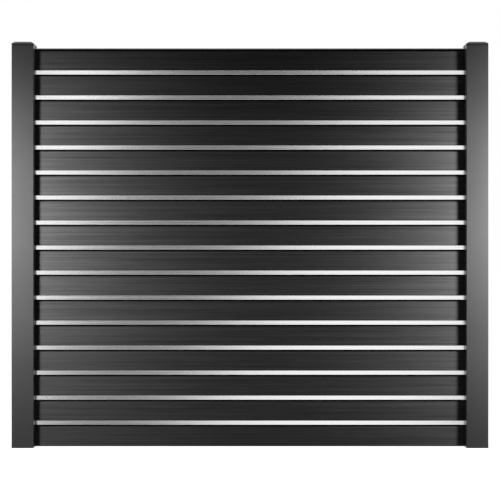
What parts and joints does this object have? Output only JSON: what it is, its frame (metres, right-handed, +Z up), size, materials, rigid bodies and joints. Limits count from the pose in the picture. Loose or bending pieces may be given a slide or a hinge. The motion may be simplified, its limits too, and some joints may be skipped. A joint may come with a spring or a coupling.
{
  "type": "aluminium privacy fence bay",
  "caption": "Closed fence bay of dark hollow boards with bright strips in the joints, stacked between grooved square posts with low bevelled caps.",
  "frame": {"origin": "centre of the left post's foot, on the ground", "axes": "+X along the fence to the right post, +Y to the back, +Z up"},
  "size_m": [2.16, 0.1, 1.842],
  "materials": {
    "post_coat": "satin anthracite powder coat on extruded aluminium",
    "cap_coat": "satin anthracite powder coat on cast aluminium",
    "board_brushed": "dark anodised aluminium, brushed lengthwise",
    "strip_bright": "clear anodised aluminium, satin",
    "rest_plastic": "black polyamide, moulded"
  },
  "bodies": {
    "root": {"post_left": "post_coat", "post_right": "post_coat", "rest_left": "rest_plastic", "rest_right": "rest_plastic", "bottom_rail": "board_brushed", "top_trim": "strip_bright", "cap_left": "cap_coat", "cap_right": "cap_coat", "board_01": "board_brushed", "board_02": "board_brushed", "board_03": "board_brushed", "board_04": "board_brushed", "board_05": "board_brushed", "board_06": "board_brushed", "board_07": "board_brushed", "board_08": "board_brushed", "board_09": "board_brushed", "board_10": "board_brushed", "board_11": "board_brushed", "board_12": "board_brushed", "board_13": "board_brushed", "board_14": "board_brushed", "board_15": "board_brushed", "board_16": "board_brushed", "strip_01": "strip_bright", "strip_02": "strip_bright", "strip_03": "strip_bright", "strip_04": "strip_bright", "strip_05": "strip_bright", "strip_06": "strip_bright", "strip_07": "strip_bright", "strip_08": "strip_bright", "strip_09": "strip_bright", "strip_10": "strip_bright", "strip_11": "strip_bright", "strip_12": "strip_bright", "strip_13": "strip_bright", "strip_14": "strip_bright", "strip_15": "strip_bright"}
  },
  "joints": []
}
